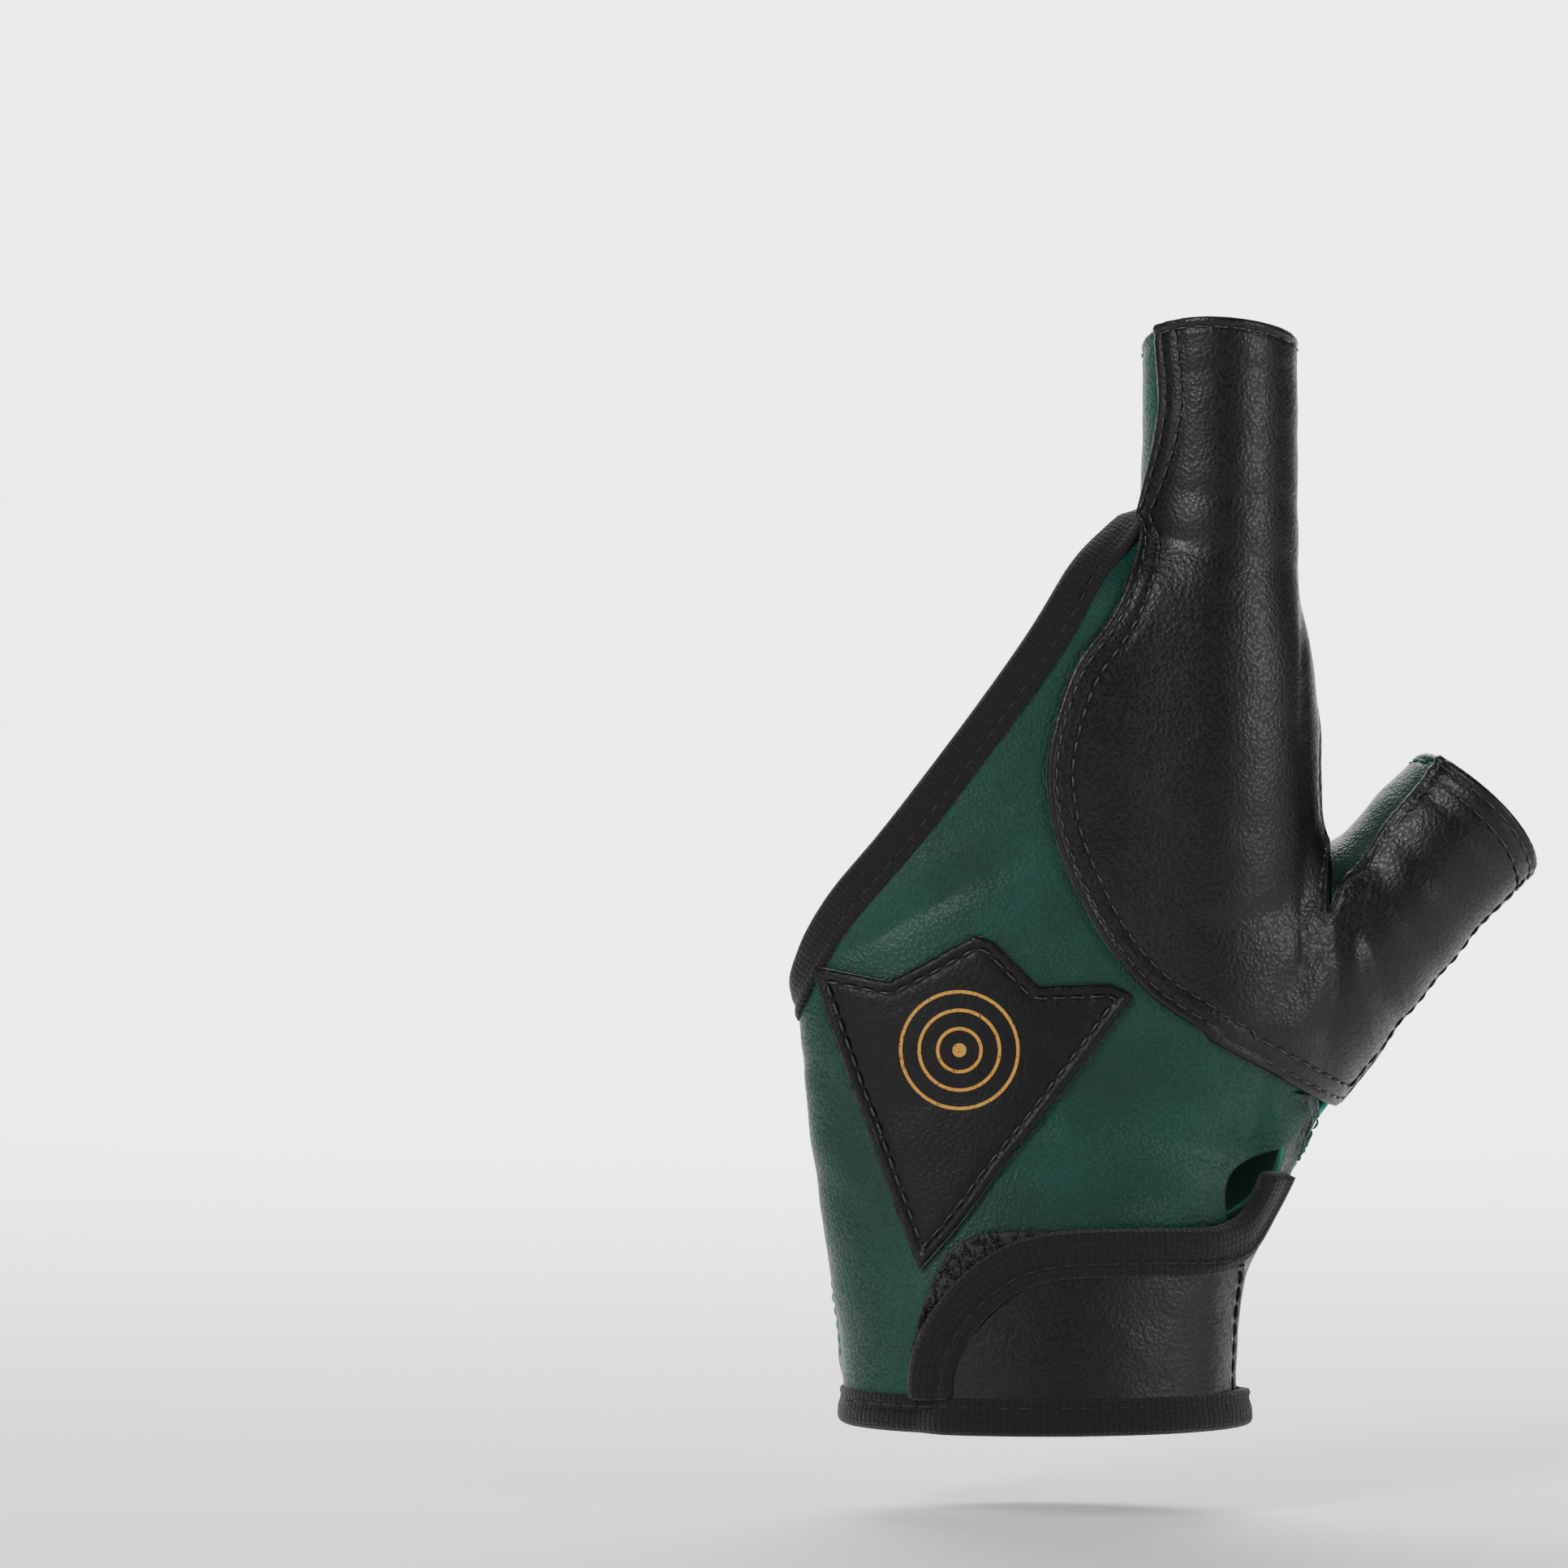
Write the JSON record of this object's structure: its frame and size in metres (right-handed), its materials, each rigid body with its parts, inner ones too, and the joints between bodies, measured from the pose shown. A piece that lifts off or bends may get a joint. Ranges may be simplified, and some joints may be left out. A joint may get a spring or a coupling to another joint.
{
  "type": "archery glove",
  "caption": "Left-hand archery glove with index sleeve and thumb, leather panels, knit bands and a wrist tab, in its worn form",
  "frame": {"origin": "middle of the wrist opening, at the height of the hem's lower edge", "axes": "+Z from the wrist to the end of the index sleeve, +X to the thumb's side, -Y out of the back of the hand"},
  "size_m": [0.12, 0.0469, 0.1762],
  "materials": {
    "green_leather_back": "satin",
    "green_leather_palm": "satin",
    "green_leather_thumb": "satin",
    "black_leather_facing": "satin",
    "black_leather_patch": "satin",
    "knit_opening": "matte",
    "knit_hem": "matte",
    "black_leather_tab": "satin",
    "knit_tab": "matte",
    "loop_pile": "matte"
  },
  "bodies": {
    "root": {"back_panel": "green_leather_back", "palm_panel": "green_leather_palm", "thumb_piece": "green_leather_thumb", "finger_thumb_facing": "black_leather_facing", "emblem_patch": "black_leather_patch", "opening_binding": "knit_opening", "hem_binding": "knit_hem", "closure_tab": "black_leather_tab", "tab_binding": "knit_tab", "loop_patch": "loop_pile"}
  },
  "joints": []
}
